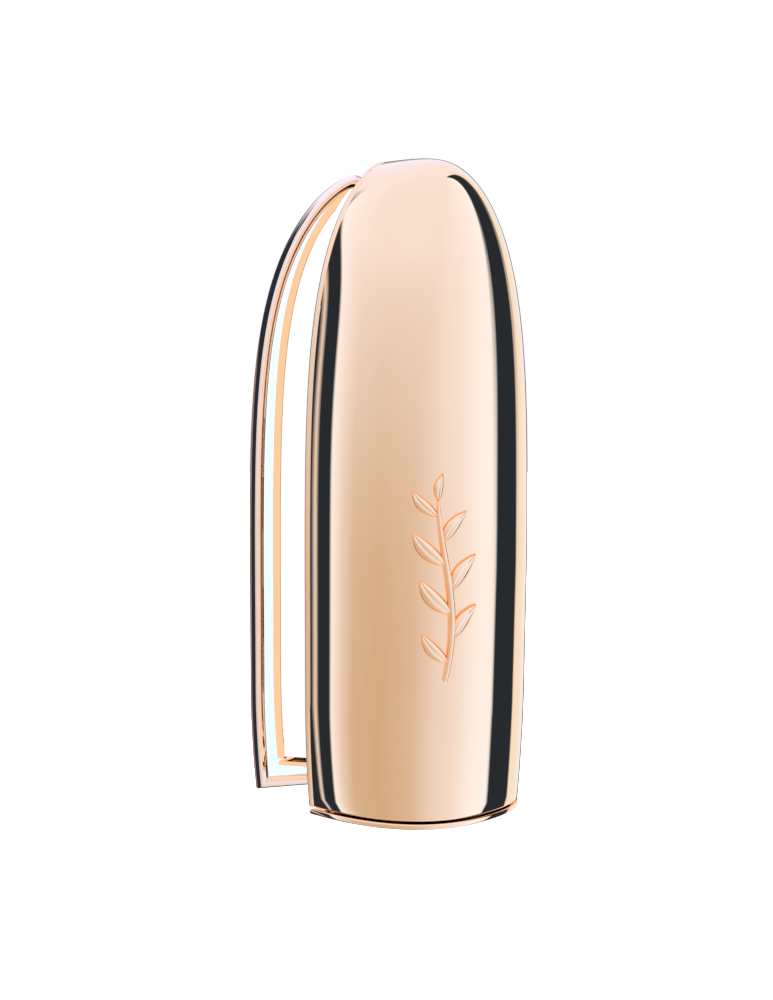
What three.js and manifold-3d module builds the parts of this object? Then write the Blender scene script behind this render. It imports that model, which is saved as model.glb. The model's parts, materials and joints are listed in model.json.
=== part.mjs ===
// A slim lipstick case: a half-bullet shell with a mirror leaf hinged along its long right edge,
// and a twist-up refill that draws out of the bottom. Millimetres, +Z up, the shell's front faces -Y.
// The origin is on the underside of the base plate, on the refill's axis.
import * as THREE from "three";
import { mergeVertices } from "three/addons/utils/BufferGeometryUtils.js";
import Module from "manifold-3d";

const wasm = await Module();
wasm.setup();

// ---- overall form ----
const HALF_WIDTH = 14; // of the case at its widest
const DEPTH = 18.8; // of the front shell, from the parting plane to its front
const HEIGHT = 80.7; // to the top of the dome
const ARCH_START = 14; // height at which the sides begin to close in
const SHOULDER_START = 36; // height at which the front begins to fall back
const SECTION_POWER = 2.5; // squareness of the shell's cross section
const ARCH_RISE_POWER = 5;
const ARCH_WIDTH_POWER = 1.44;
const SHOULDER_RISE_POWER = 3.9;
const SHOULDER_DEPTH_POWER = 4.2;
const FOOT_TAPER = 0.05; // share of the width lost at the foot
const FOOT_DEPTH_TAPER = 0.066; // share of the depth lost at the foot

// ---- walls, plates and gaps ----
const GAP = 0.3; // between pieces that touch
const RUN = 0.25; // running clearance between tubes that slide or turn
const SHELL_WALL = 1.0;
const BASE_THICK = 0.7;
const MIRROR_THICK = 0.8;
const TAPE_THICK = 0.2;
const REAR_FRAME_THICK = 1.1;
const MIRROR_RECESS = 0.1; // of the body mirror below the shell's rear rim

// ---- mirror leaf ----
const LEAF_BOTTOM = 0.3;
const LEAF_DROP = 1.4; // of the leaf's top below the dome's
const LEAF_FRAME_THICK = 1.4;
const LEAF_RIM = 1.1; // width of the bezel round the mirror
const LEAF_MIRROR_RECESS = 0.5;
const LEAF_DOME = 2.9; // depth of the leaf's gold back
const LEAF_WALL = 0.8;
const LEAF_OPEN_AT_REST = 27; // degrees

// ---- hinge ----
const HINGE_RADIUS = 1.2;
const PIN_RADIUS = 0.45;
const HINGE_INSET = 1.3; // of the pin's axis inside the widest edge
const HINGE_BOTTOM = 8;
const HINGE_EDGE_FALL = 0.3; // the hinge ends where the edge has fallen in by this much
const KNUCKLES = 5;
const TAB_WIDTH = 0.7;
const TAB_OVERLAP = 0.1; // of a tab under its knuckle's side

// ---- refill ----
const SLEEVE_WALL = 0.4;
const BARREL_WALL = 0.35;
const TUBE_WALL = 0.35;
const CUP_WALL = 0.35;
const SLEEVE_ROOM = 0.35; // between the sleeve and the shell or rear frame
const SLEEVE_RISE = 6; // of the sleeve above the tube
const TUBE_RISE = 3; // of the tube above the lowered bullet
const BASE_PLUG_TOP = 6;
const BASE_WEIGHT_HEIGHT = 3.7;
const COLLAR_HEIGHT = 5;
const CUP_HEIGHT = 13;
const CUP_LIFT = 0.7; // of the cup above the tube's foot
const CUP_FLOOR_THICK = 2;
const LUG_LIFT = 0.9; // of the lugs above the cup's foot
const LUG_HEIGHT = 1.4;
const LUG_RECESS = 0.1; // of a lug's end inside the tube's surface
const SLOT_HALF_WIDTH = 1.1;
const BULLET_SLANT = 40; // degrees of the bullet's cut
const BULLET_TRAVEL = 18;
const BULLET_HEADROOM = 3; // between the raised bullet and the top weight
const TOP_WEIGHT_HEIGHT = 9;
const TOP_WEIGHT_DROP = 8.6; // of the weight's top below the dome's top
const TOP_WEIGHT_ROOM = 0.8; // between the weight and the shell's inside

// ---- flange, springs and magnets ----
const FLANGE_BOTTOM = 4.6;
const FLANGE_THICK = 1;
const SPRING_BOTTOM = 16;
const SPRING_LENGTH = 16;
const SPRING_THICK = 0.3;
const SPRING_HALF_WIDTH = 1.2;
const DIMPLE_HALF = 0.9;
const DIMPLE_OVERLAP = 0.1; // of the dimple's root inside its spring
const MAGNET_RADIUS = 1.5;
const MAGNET_HEIGHT = 1.6;
const KEEPER_THICK = 0.9;
const LEAF_KEEPER_THICK = 0.6;
const CATCH_HEIGHTS = { upper: 46, lower: 14 };
const CATCH_INSET = 4.4; // of the catch's middle inside the widest edge
const TAPE_INSET = 1; // of a tape's edge inside its mirror's

// ---- derived places ----
const SHELL_BOTTOM = BASE_THICK + GAP;
const MIRROR_FRONT = -MIRROR_RECESS - MIRROR_THICK; // front face of the body mirror
const TAPE_FRONT = MIRROR_FRONT - GAP - TAPE_THICK;
const FRAME_FRONT = TAPE_FRONT - GAP - REAR_FRAME_THICK;
const SHELL_INSIDE_FRONT = -DEPTH * (1 - FOOT_DEPTH_TAPER) + SHELL_WALL;
const SLEEVE_RADIUS = (FRAME_FRONT - SHELL_INSIDE_FRONT) / 2 - SLEEVE_ROOM;
const AXIS_Y = (FRAME_FRONT + SHELL_INSIDE_FRONT) / 2;
const SLEEVE_BORE = SLEEVE_RADIUS - SLEEVE_WALL;
const BARREL_RADIUS = SLEEVE_BORE - RUN;
const BARREL_BORE = BARREL_RADIUS - BARREL_WALL;
const TUBE_RADIUS = BARREL_BORE - RUN;
const TUBE_BORE = TUBE_RADIUS - TUBE_WALL;
const CUP_RADIUS = TUBE_BORE - RUN;
const CUP_BORE = CUP_RADIUS - CUP_WALL;
const BULLET_RADIUS = CUP_BORE - GAP;
const TOP_WEIGHT_TOP = HEIGHT - TOP_WEIGHT_DROP;
const TOP_WEIGHT_BOTTOM = TOP_WEIGHT_TOP - TOP_WEIGHT_HEIGHT;
const BULLET_TOP = TOP_WEIGHT_BOTTOM - BULLET_HEADROOM - BULLET_TRAVEL;
const TUBE_TOP = BULLET_TOP + TUBE_RISE;
const SLEEVE_TOP = TUBE_TOP + SLEEVE_RISE;
const BARREL_BOTTOM = BASE_PLUG_TOP + GAP;
const BARREL_TOP = TUBE_TOP - COLLAR_HEIGHT - GAP;
const WEIGHT_TOP = BARREL_BOTTOM + BASE_WEIGHT_HEIGHT;
const TUBE_BOTTOM = WEIGHT_TOP + GAP;
const CUP_BOTTOM = TUBE_BOTTOM + CUP_LIFT;
const CUP_FLOOR = CUP_BOTTOM + CUP_FLOOR_THICK;
const LUG_BOTTOM = CUP_BOTTOM + LUG_LIFT;
const LUG_HALF_WIDTH = SLOT_HALF_WIDTH - GAP;
const SLOT_BOTTOM = LUG_BOTTOM - GAP;
const SLOT_TOP = LUG_BOTTOM + LUG_HEIGHT + BULLET_TRAVEL + GAP;
const HINGE_X = HALF_WIDTH - HINGE_INSET;
const HINGE_Y = GAP + HINGE_RADIUS;
const LEAF_CLIP = HINGE_X - HINGE_RADIUS - GAP; // the leaf's straight right edge
const LEAF_FRONT = GAP;
const LEAF_MIRROR_FRONT = LEAF_FRONT + LEAF_MIRROR_RECESS;
const LEAF_PAN_FRONT = LEAF_FRONT + LEAF_FRAME_THICK + GAP;
const HINGE_TOP = heightAtHalfWidth(HALF_WIDTH - HINGE_EDGE_FALL);
const SPRING_MIDDLE = SPRING_BOTTOM + SPRING_LENGTH / 2;
const CATCH_X = -(HALF_WIDTH - CATCH_INSET);
const BASE_MAGNET_X = (SLEEVE_RADIUS + insideAtAxis()) / 2; // midway between the sleeve and the shell
const FAR = 200; // half side of the cutting blocks

// ---- the form's formulas ----
function heightAtHalfWidth(halfWidth) {
  const share = (halfWidth / HALF_WIDTH) ** ARCH_WIDTH_POWER;
  return ARCH_START + (HEIGHT - ARCH_START) * (1 - share) ** (1 / ARCH_RISE_POWER);
}

// Half width of the shell's inside at the foot, level with the refill's axis.
function insideAtAxis() {
  const half = HALF_WIDTH * (1 - FOOT_TAPER) - SHELL_WALL;
  return half * (1 - (AXIS_Y / SHELL_INSIDE_FRONT) ** SECTION_POWER) ** (1 / SECTION_POWER);
}

function depthAt(z, form) {
  if (z < SHOULDER_START) {
    const drop = (SHOULDER_START - z) / SHOULDER_START;
    return form.depth * (1 - FOOT_DEPTH_TAPER * drop ** 2);
  }
  const rise = Math.min(1, (z - SHOULDER_START) / (form.height - SHOULDER_START));
  return form.depth * (1 - rise ** SHOULDER_RISE_POWER) ** (1 / SHOULDER_DEPTH_POWER);
}

// Heights and half widths from the foot to the top of the arch.
function stations(form, bottom, lastAngle = 87) {
  const list = [];
  const footSteps = 5;
  for (let i = 0; i < footSteps; i++) {
    const z = bottom + ((ARCH_START - bottom) * i) / footSteps;
    const drop = (ARCH_START - z) / ARCH_START;
    list.push({ z, w: form.half * (1 - FOOT_TAPER * drop ** 2) });
  }
  const archSteps = 16;
  for (let i = 0; i <= archSteps; i++) {
    const a = THREE.MathUtils.degToRad((lastAngle * i) / archSteps);
    list.push({
      z: ARCH_START + (form.height - ARCH_START) * Math.sin(a) ** (2 / ARCH_RISE_POWER),
      w: form.half * Math.max(Math.cos(a), 0) ** (2 / ARCH_WIDTH_POWER),
    });
  }
  return list;
}

const FORM = { half: HALF_WIDTH, depth: DEPTH, height: HEIGHT };
const LEAF_FORM = { half: HALF_WIDTH, depth: LEAF_DOME, height: HEIGHT - LEAF_DROP };
const inset = (form, t) => ({ half: form.half - t, depth: form.depth - t, height: form.height - t });

// ---- solids ----
function solid(geometry) {
  let g = geometry.clone();
  g.deleteAttribute("normal");
  g.deleteAttribute("uv");
  g = mergeVertices(g, 1e-3);
  const vertProperties = new Float32Array(g.attributes.position.array);
  const triVerts = new Uint32Array(g.index.array);
  return new wasm.Manifold(new wasm.Mesh({ numProp: 3, vertProperties, triVerts }));
}

function toGeometry(manifold) {
  const m = manifold.getMesh();
  const g = new THREE.BufferGeometry();
  g.setAttribute("position", new THREE.BufferAttribute(new Float32Array(m.vertProperties), 3));
  g.setIndex(new THREE.BufferAttribute(new Uint32Array(m.triVerts), 1));
  g.computeVertexNormals();
  return g;
}

// A closed body through level rings of points, each running counterclockwise seen from above.
function loft(rings) {
  const n = rings[0].length;
  const position = rings.flat(2);
  const index = [];
  for (let r = 0; r < rings.length - 1; r++) {
    for (let k = 0; k < n; k++) {
      const a = r * n + k;
      const b = r * n + ((k + 1) % n);
      index.push(a, b, b + n, a, b + n, a + n);
    }
  }
  const cap = (ring) =>
    THREE.ShapeUtils.triangulateShape(ring.map(([x, y]) => new THREE.Vector2(x, y)), []);
  for (const [a, b, c] of cap(rings[0])) index.push(c, b, a);
  const top = (rings.length - 1) * n;
  for (const [a, b, c] of cap(rings.at(-1))) index.push(top + a, top + b, top + c);
  const g = new THREE.BufferGeometry();
  g.setAttribute("position", new THREE.BufferAttribute(new Float32Array(position), 3));
  g.setIndex(index);
  return solid(g);
}

// Half of a squared-off ellipse: side -1 bulges to the front, +1 to the back, from the plane y = flat.
function halfRing(w, d, z, side, flat, reach, count = 28) {
  const ring = [];
  for (let k = 0; k <= count; k++) {
    const a = (Math.PI * k) / count;
    const c = Math.cos(a);
    const x = side * Math.sign(c) * w * Math.abs(c) ** (2 / SECTION_POWER);
    ring.push([x, flat + side * d * Math.sin(a) ** (2 / SECTION_POWER), z]);
  }
  if (reach) {
    ring[0][1] = flat - side * reach;
    ring[count][1] = flat - side * reach;
  }
  return ring;
}

function dome(form, bottom, side, flat, reach = 0) {
  const rings = stations(form, bottom).map(({ z, w }) =>
    halfRing(w, depthAt(z, form), z, side, flat, reach));
  return loft(rings);
}

function block(x0, x1, y0, y1, z0, z1) {
  const g = new THREE.BoxGeometry(x1 - x0, y1 - y0, z1 - z0);
  g.translate((x0 + x1) / 2, (y0 + y1) / 2, (z0 + z1) / 2);
  return solid(g);
}

function cylinder(r, z0, z1, x, y, sides = 40) {
  const g = new THREE.CylinderGeometry(r, r, z1 - z0, sides);
  g.rotateX(Math.PI / 2);
  g.translate(x, y, (z0 + z1) / 2);
  return solid(g);
}

// A disc whose axis runs along Y.
function disc(r, y0, y1, x, z, sides = 24) {
  const g = new THREE.CylinderGeometry(r, r, y1 - y0, sides);
  g.translate(x, (y0 + y1) / 2, z);
  return solid(g);
}

function tube(outer, inner, z0, z1) {
  return cylinder(outer, z0, z1, 0, AXIS_Y).subtract(cylinder(inner, z0 - 1, z1 + 1, 0, AXIS_Y));
}

// A plate with the case's arched outline, between y0 and y1, cut off straight at x = clip.
function archPlate(form, margin, bottom, y0, y1, clip = FAR) {
  const side = stations(inset(form, margin), bottom, 90);
  const points = side.map(({ z, w }) => [-w, z]);
  for (const { z, w } of side.slice(0, -1).reverse()) points.push([w, z]);
  const shape = new THREE.Shape(points.reverse().map(([x, z]) => new THREE.Vector2(x, z)));
  const g = new THREE.ExtrudeGeometry(shape, { depth: y1 - y0, bevelEnabled: false });
  g.rotateX(Math.PI / 2);
  g.translate(0, y1, 0);
  return clip < FAR ? solid(g).intersect(block(-FAR, clip, -FAR, FAR, -FAR, FAR)) : solid(g);
}

// ---- materials ----
const finish = (color, roughness, metalness) => ({ color, roughness, metalness });
const GOLD = finish(0xe8bd93, 0.12, 1);
const PALE_GOLD = finish(0xf0dccb, 0.15, 1);
const MIRROR = finish(0xf2f6f8, 0.02, 1);
const STEEL = finish(0xb8babd, 0.3, 1);
const BLACK_PLASTIC = finish(0x1c1c1e, 0.5, 0);
const IVORY_PLASTIC = finish(0xe9e2d6, 0.45, 0);
const TAPE = finish(0x2a2a2a, 0.9, 0);
const ROUGE = finish(0xa3162c, 0.5, 0);

function piece(name, manifold, look) {
  const mesh = new THREE.Mesh(toGeometry(manifold), new THREE.MeshStandardMaterial(look));
  mesh.name = name;
  mesh.position.set(0, -AXIS_Y, 0);
  return mesh;
}

// ---- case ----
function frontShell() {
  const inside = dome(inset(FORM, SHELL_WALL), SHELL_BOTTOM - 1, -1, 0, 1);
  return dome(FORM, SHELL_BOTTOM, -1, 0).subtract(inside);
}

function knuckleSpan(i) {
  const pitch = (HINGE_TOP - HINGE_BOTTOM) / KNUCKLES;
  return [HINGE_BOTTOM + pitch * i, HINGE_BOTTOM + pitch * (i + 1) - GAP];
}

function knuckle(i) {
  const [z0, z1] = knuckleSpan(i);
  return cylinder(HINGE_RADIUS, z0, z1, HINGE_X, HINGE_Y, 24);
}

const pinHole = () =>
  cylinder(PIN_RADIUS + GAP, HINGE_BOTTOM - 1, HINGE_TOP + 1, HINGE_X, HINGE_Y, 20);

function rearFrame() {
  const margin = SHELL_WALL + GAP;
  let frame = archPlate(FORM, margin, SHELL_BOTTOM + GAP, FRAME_FRONT, FRAME_FRONT + REAR_FRAME_THICK);
  const tabLeft = HINGE_X - HINGE_RADIUS + TAB_OVERLAP;
  for (let i = 0; i < KNUCKLES; i += 2) {
    const [z0, z1] = knuckleSpan(i);
    const tab = block(tabLeft, tabLeft + TAB_WIDTH, FRAME_FRONT, HINGE_Y, z0, z1);
    frame = frame.add(knuckle(i)).add(tab);
  }
  return frame.subtract(pinHole());
}

function innerSleeve() {
  const flange = dome(inset(FORM, SHELL_WALL + GAP), FLANGE_BOTTOM, -1, 0)
    .intersect(block(-FAR, FAR, -FAR, FRAME_FRONT - GAP, FLANGE_BOTTOM, FLANGE_BOTTOM + FLANGE_THICK));
  const body = cylinder(SLEEVE_RADIUS, SHELL_BOTTOM + GAP, SLEEVE_TOP, 0, AXIS_Y);
  const bore = cylinder(SLEEVE_BORE, 0, SLEEVE_TOP + 1, 0, AXIS_Y);
  return body.add(flange).subtract(bore).subtract(springWindow());
}

function springWindow() {
  const half = DIMPLE_HALF + GAP;
  return block(-FAR, FAR, AXIS_Y - half, AXIS_Y + half, SPRING_MIDDLE - half, SPRING_MIDDLE + half);
}

function gripSpring(side) {
  const inner = SLEEVE_RADIUS + GAP;
  const between = (a, b, y, z0, z1) =>
    block(Math.min(side * a, side * b), Math.max(side * a, side * b), AXIS_Y - y, AXIS_Y + y, z0, z1);
  const strip = between(inner, inner + SPRING_THICK, SPRING_HALF_WIDTH, SPRING_BOTTOM, SPRING_BOTTOM + SPRING_LENGTH);
  const dimple = between(BARREL_RADIUS + RUN, inner + DIMPLE_OVERLAP, DIMPLE_HALF,
    SPRING_MIDDLE - DIMPLE_HALF, SPRING_MIDDLE + DIMPLE_HALF);
  return strip.add(dimple);
}

function topWeight() {
  return dome(inset(FORM, SHELL_WALL + TOP_WEIGHT_ROOM), SHELL_BOTTOM, -1, 0)
    .intersect(block(-FAR, FAR, -FAR, FRAME_FRONT - GAP, TOP_WEIGHT_BOTTOM, TOP_WEIGHT_TOP));
}

const catchMagnet = (z) =>
  disc(MAGNET_RADIUS, FRAME_FRONT - GAP - MAGNET_HEIGHT, FRAME_FRONT - GAP, CATCH_X, z);

const baseMagnet = (side) =>
  cylinder(MAGNET_RADIUS, SHELL_BOTTOM, SHELL_BOTTOM + MAGNET_HEIGHT, side * BASE_MAGNET_X, AXIS_Y, 24);
const baseKeeper = (side) =>
  cylinder(MAGNET_RADIUS, FLANGE_BOTTOM - GAP - KEEPER_THICK, FLANGE_BOTTOM - GAP,
    side * BASE_MAGNET_X, AXIS_Y, 24);

function caseGroup() {
  const group = new THREE.Group();
  const tapeMargin = SHELL_WALL + GAP + TAPE_INSET;
  group.add(
    piece("front_shell", frontShell(), GOLD),
    piece("rear_frame", rearFrame(), STEEL),
    piece("body_mirror", archPlate(FORM, SHELL_WALL + GAP, SHELL_BOTTOM + GAP,
      MIRROR_FRONT, -MIRROR_RECESS, LEAF_CLIP), MIRROR),
    piece("body_mirror_tape", archPlate(FORM, tapeMargin, SHELL_BOTTOM + GAP + TAPE_INSET,
      TAPE_FRONT, TAPE_FRONT + TAPE_THICK, LEAF_CLIP - TAPE_INSET), TAPE),
    piece("inner_sleeve", innerSleeve(), BLACK_PLASTIC),
    piece("top_weight", topWeight(), STEEL),
    piece("hinge_pin", cylinder(PIN_RADIUS, HINGE_BOTTOM, HINGE_TOP - GAP, HINGE_X, HINGE_Y, 20), STEEL),
    piece("grip_spring_left", gripSpring(-1), STEEL),
    piece("grip_spring_right", gripSpring(1), STEEL),
    piece("catch_magnet_upper", catchMagnet(CATCH_HEIGHTS.upper), STEEL),
    piece("catch_magnet_lower", catchMagnet(CATCH_HEIGHTS.lower), STEEL),
    piece("base_keeper_left", baseKeeper(-1), STEEL),
    piece("base_keeper_right", baseKeeper(1), STEEL),
  );
  return group;
}

// ---- mirror leaf, drawn closed and then turned about the hinge pin ----
function leafShell() {
  const clip = (x) => block(-FAR, x, -FAR, FAR, -FAR, FAR);
  const outside = dome(LEAF_FORM, LEAF_BOTTOM, 1, LEAF_PAN_FRONT).intersect(clip(LEAF_CLIP));
  const inner = { half: HALF_WIDTH - LEAF_WALL, depth: LEAF_DOME - LEAF_WALL, height: LEAF_FORM.height - LEAF_WALL };
  const hollow = dome(inner, LEAF_BOTTOM + LEAF_WALL, 1, LEAF_PAN_FRONT, 1)
    .intersect(clip(LEAF_CLIP - LEAF_WALL));
  let shell = outside.subtract(hollow);
  for (let i = 1; i < KNUCKLES; i += 2) {
    const [z0, z1] = knuckleSpan(i);
    const web = block(LEAF_CLIP - LEAF_WALL / 2, HINGE_X, LEAF_PAN_FRONT, HINGE_Y + HINGE_RADIUS, z0, z1);
    shell = shell.add(knuckle(i)).add(web);
  }
  return shell.subtract(pinHole());
}

function leafFrame() {
  const back = LEAF_FRONT + LEAF_FRAME_THICK;
  const outer = archPlate(LEAF_FORM, 0, LEAF_BOTTOM, LEAF_FRONT, back, LEAF_CLIP);
  return outer.subtract(
    archPlate(LEAF_FORM, LEAF_RIM, LEAF_BOTTOM + LEAF_RIM, LEAF_FRONT - 1, back + 1, LEAF_CLIP - LEAF_RIM));
}

function leafGroup() {
  const group = new THREE.Group();
  const margin = LEAF_RIM + GAP;
  const mirror = archPlate(LEAF_FORM, margin, LEAF_BOTTOM + margin, LEAF_MIRROR_FRONT,
    LEAF_MIRROR_FRONT + MIRROR_THICK, LEAF_CLIP - margin);
  const tapeFront = LEAF_MIRROR_FRONT + MIRROR_THICK + GAP;
  const tapeMargin = margin + TAPE_INSET;
  const tape = archPlate(LEAF_FORM, tapeMargin, LEAF_BOTTOM + tapeMargin, tapeFront, tapeFront + TAPE_THICK,
    LEAF_CLIP - tapeMargin);
  const keeperFront = tapeFront + TAPE_THICK + GAP;
  const keeper = (z) => disc(MAGNET_RADIUS, keeperFront, keeperFront + LEAF_KEEPER_THICK, CATCH_X, z);
  group.add(
    piece("leaf_shell", leafShell(), GOLD),
    piece("leaf_frame", leafFrame(), PALE_GOLD),
    piece("leaf_mirror", mirror, MIRROR),
    piece("leaf_mirror_tape", tape, TAPE),
    piece("leaf_keeper_upper", keeper(CATCH_HEIGHTS.upper), STEEL),
    piece("leaf_keeper_lower", keeper(CATCH_HEIGHTS.lower), STEEL),
  );
  for (const mesh of group.children) mesh.position.set(-HINGE_X, -HINGE_Y, 0);
  group.position.set(HINGE_X, HINGE_Y - AXIS_Y, 0);
  group.rotation.z = -THREE.MathUtils.degToRad(LEAF_OPEN_AT_REST);
  return group;
}

// ---- refill: the base and spiral barrel, the turning tube, and the carrier ----
function basePlate() {
  const plate = dome(FORM, 0, -1, 0).intersect(block(-FAR, FAR, -FAR, FAR, 0, BASE_THICK));
  return plate.add(cylinder(BARREL_RADIUS, BASE_THICK / 2, BASE_PLUG_TOP, 0, AXIS_Y));
}

function innerTube() {
  const slots = block(-FAR, FAR, AXIS_Y - SLOT_HALF_WIDTH, AXIS_Y + SLOT_HALF_WIDTH, SLOT_BOTTOM, SLOT_TOP);
  return tube(TUBE_RADIUS, TUBE_BORE, TUBE_BOTTOM, TUBE_TOP).subtract(slots);
}

function carrierCup() {
  const cup = cylinder(CUP_RADIUS, CUP_BOTTOM, CUP_BOTTOM + CUP_HEIGHT, 0, AXIS_Y)
    .subtract(cylinder(CUP_BORE, CUP_FLOOR, CUP_BOTTOM + CUP_HEIGHT + 1, 0, AXIS_Y));
  const reach = TUBE_RADIUS - LUG_RECESS;
  const lug = (x0, x1) => block(x0, x1, AXIS_Y - LUG_HALF_WIDTH, AXIS_Y + LUG_HALF_WIDTH,
    LUG_BOTTOM, LUG_BOTTOM + LUG_HEIGHT);
  const root = CUP_BORE + CUP_WALL / 2;
  return cup.add(lug(-reach, -root)).add(lug(root, reach));
}

function bullet() {
  const bottom = CUP_FLOOR + GAP;
  const stick = cylinder(BULLET_RADIUS, bottom, BULLET_TOP, 0, AXIS_Y, 36);
  const slant = THREE.MathUtils.degToRad(BULLET_SLANT);
  const cutter = new THREE.BoxGeometry(FAR, FAR, FAR);
  cutter.translate(0, 0, FAR / 2);
  cutter.rotateX(-slant);
  cutter.translate(0, AXIS_Y, BULLET_TOP - BULLET_RADIUS * Math.tan(slant));
  return stick.subtract(solid(cutter));
}

function refillGroup() {
  const group = new THREE.Group();
  group.add(
    piece("base_plate", basePlate(), GOLD),
    piece("base_magnet_left", baseMagnet(-1), STEEL),
    piece("base_magnet_right", baseMagnet(1), STEEL),
    piece("base_weight", cylinder(BARREL_BORE - GAP, BARREL_BOTTOM, WEIGHT_TOP, 0, AXIS_Y), STEEL),
    piece("spiral_barrel", tube(BARREL_RADIUS, BARREL_BORE, BARREL_BOTTOM, BARREL_TOP), GOLD),
    piece("inner_tube", innerTube(), IVORY_PLASTIC),
    piece("twist_collar", tube(BARREL_RADIUS, TUBE_RADIUS + GAP, BARREL_TOP + GAP, TUBE_TOP), GOLD),
    piece("carrier_cup", carrierCup(), IVORY_PLASTIC),
    piece("lipstick_bullet", bullet(), ROUGE),
  );
  return group;
}

const lipstickCase = new THREE.Group();
lipstickCase.add(caseGroup(), leafGroup(), refillGroup());

export default lipstickCase;
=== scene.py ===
"""Looks for a lipstick case with a mirror leaf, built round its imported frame."""

import json
import math

import bmesh
import bpy
from mathutils import Matrix, Vector


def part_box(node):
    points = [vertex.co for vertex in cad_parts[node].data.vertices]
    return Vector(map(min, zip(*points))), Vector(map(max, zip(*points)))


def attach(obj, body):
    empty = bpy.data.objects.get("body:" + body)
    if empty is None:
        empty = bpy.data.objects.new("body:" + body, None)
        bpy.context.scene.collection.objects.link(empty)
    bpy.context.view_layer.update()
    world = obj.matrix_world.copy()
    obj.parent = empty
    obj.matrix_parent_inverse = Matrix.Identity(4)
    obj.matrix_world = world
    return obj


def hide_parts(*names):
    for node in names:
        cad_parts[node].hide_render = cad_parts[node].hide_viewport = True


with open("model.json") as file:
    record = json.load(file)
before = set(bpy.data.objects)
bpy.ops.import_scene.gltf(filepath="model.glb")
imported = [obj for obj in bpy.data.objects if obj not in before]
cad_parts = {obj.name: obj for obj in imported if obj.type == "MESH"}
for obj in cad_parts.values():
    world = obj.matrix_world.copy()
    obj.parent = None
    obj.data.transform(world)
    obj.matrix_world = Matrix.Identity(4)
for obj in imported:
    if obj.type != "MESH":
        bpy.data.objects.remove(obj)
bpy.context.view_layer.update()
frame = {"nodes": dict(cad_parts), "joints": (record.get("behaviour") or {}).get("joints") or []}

bl_info = {
    "name": "Mirror Leaf Lipstick Case",
    "version": (1, 0, 0),
    "blender": (4, 5, 0),
    "location": "View3D > Sidebar > Lipstick Case",
    "description": "Polished case, mirror leaf and twist-up refill round a fixed frame",
    "category": "Add Mesh",
}

MM = 0.001
NODES = frame["nodes"]


def lo(node):
    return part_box(node)[0]


def hi(node):
    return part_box(node)[1]


# ---- sizes taken from the frame ----
SHELL_LO, SHELL_HI = lo("front_shell"), hi("front_shell")
PARTING_Y = SHELL_HI[1]
LEAF_JOINT = next(j for j in frame["joints"] if j["name"] == "leaf_hinge")
HINGE = Vector(LEAF_JOINT["pos_m"])
LEAF_TURN = math.radians(LEAF_JOINT["range_deg"][0])  # the leaf is drawn closed and turned back to rest
BARREL_RADIUS = (hi("spiral_barrel")[0] - lo("spiral_barrel")[0]) / 2


class CaseForm(bpy.types.PropertyGroup):
    """The shape of the case's outline and section."""

    half_width: bpy.props.FloatProperty(
        name="Half width", description="Half of the case's widest place",
        default=(SHELL_HI[0] - SHELL_LO[0]) / 2, unit="LENGTH")
    depth: bpy.props.FloatProperty(
        name="Depth", description="Depth of the front shell",
        default=SHELL_HI[1] - SHELL_LO[1], unit="LENGTH")
    height: bpy.props.FloatProperty(
        name="Height", description="Height of the top of the dome",
        default=SHELL_HI[2] + 0.5 * MM, unit="LENGTH")
    arch_start: bpy.props.FloatProperty(
        name="Arch start", description="Height where the sides begin to close in",
        default=14 * MM, unit="LENGTH")
    shoulder_start: bpy.props.FloatProperty(
        name="Shoulder start", description="Height where the front begins to fall back",
        default=36 * MM, unit="LENGTH")
    section_power: bpy.props.FloatProperty(
        name="Section power", description="Squareness of the cross section", default=2.5)
    arch_rise_power: bpy.props.FloatProperty(
        name="Arch rise", description="How late the sides close in", default=5.0)
    arch_width_power: bpy.props.FloatProperty(
        name="Arch width", description="How blunt the arch is", default=1.44)
    shoulder_rise_power: bpy.props.FloatProperty(
        name="Shoulder rise", description="How late the front falls back", default=3.9)
    shoulder_depth_power: bpy.props.FloatProperty(
        name="Shoulder depth", description="How blunt the shoulder is", default=4.2)
    foot_taper: bpy.props.FloatProperty(
        name="Foot taper", description="Share of the width lost at the foot", default=0.05)
    foot_depth_taper: bpy.props.FloatProperty(
        name="Foot depth taper", description="Share of the depth lost at the foot", default=0.066)
    wall: bpy.props.FloatProperty(
        name="Wall", description="Thickness of the front shell", default=1.0 * MM, unit="LENGTH")
    rim_bead: bpy.props.FloatProperty(
        name="Rim bead", description="Radius of the fine bead round the shell at the parting line",
        default=0.3 * MM, unit="LENGTH")
    crest_round: bpy.props.FloatProperty(
        name="Crest round", description="Half width over which the top of the dome is rounded",
        default=1.6 * MM, unit="LENGTH")
    leaf_clip: bpy.props.FloatProperty(
        name="Leaf edge", description="Where the leaf's straight right edge stands",
        default=HINGE.x - 1.5 * MM, unit="LENGTH")
    leaf_dome: bpy.props.FloatProperty(
        name="Leaf dome", description="Depth of the leaf's back", default=2.9 * MM, unit="LENGTH")
    leaf_drop: bpy.props.FloatProperty(
        name="Leaf drop", description="How far the leaf's top stands below the dome's",
        default=1.4 * MM, unit="LENGTH")
    leaf_rim: bpy.props.FloatProperty(
        name="Leaf rim", description="Width of the bezel round the mirror",
        default=1.1 * MM, unit="LENGTH")


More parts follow.
